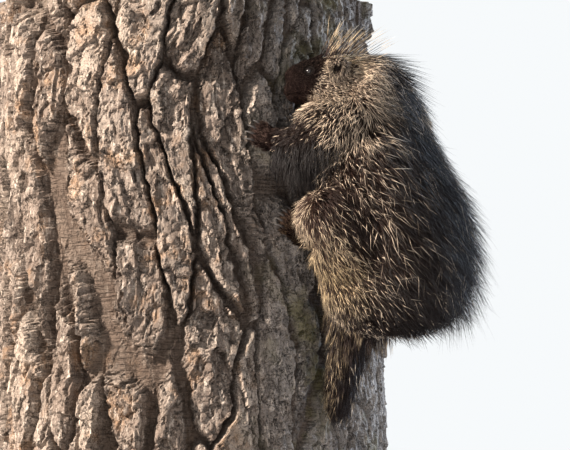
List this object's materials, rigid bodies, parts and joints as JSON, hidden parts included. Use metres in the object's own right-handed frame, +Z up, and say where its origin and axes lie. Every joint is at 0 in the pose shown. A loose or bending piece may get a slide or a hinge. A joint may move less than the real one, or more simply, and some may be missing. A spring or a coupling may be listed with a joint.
{
  "type": "porcupine on a trunk display model",
  "caption": "Life-size still model of a North American porcupine clinging to a short cut length of tree trunk, held on a plain display stand.",
  "frame": {"origin": "centre of the round stand's underside, which is on the axis of the trunk", "axes": "+Z up along the trunk; -Y towards the picture's camera; the animal sits round the trunk from -Y towards +X"},
  "size_m": [0.951, 0.8667, 0.9386],
  "materials": {
    "coat": "long coarse guard hairs and quills, dark with pale yellow tips",
    "short_fur": "short dark brown fur of the face and ears",
    "paw": "short reddish brown fur",
    "eye": "wet black",
    "bark": "deeply furrowed rough bark",
    "stand_paint": "matt dark grey paint",
    "rod_steel": "brushed"
  },
  "bodies": {
    "root": {"stand_base": "stand_paint", "stand_rod_left": "rod_steel", "stand_rod_right": "rod_steel", "trunk": "bark", "torso": "coat", "neck": "coat", "head": "short_fur", "ear_left": "short_fur", "ear_right": "short_fur", "eye_left": "eye", "eye_right": "eye", "tail": "coat", "foreleg_left": "coat", "foreleg_right": "coat", "hindleg_left": "coat", "hindleg_right": "coat", "forepaw_left": "paw", "forepaw_right": "paw", "hindfoot_left": "paw", "hindfoot_right": "paw"}
  },
  "joints": []
}
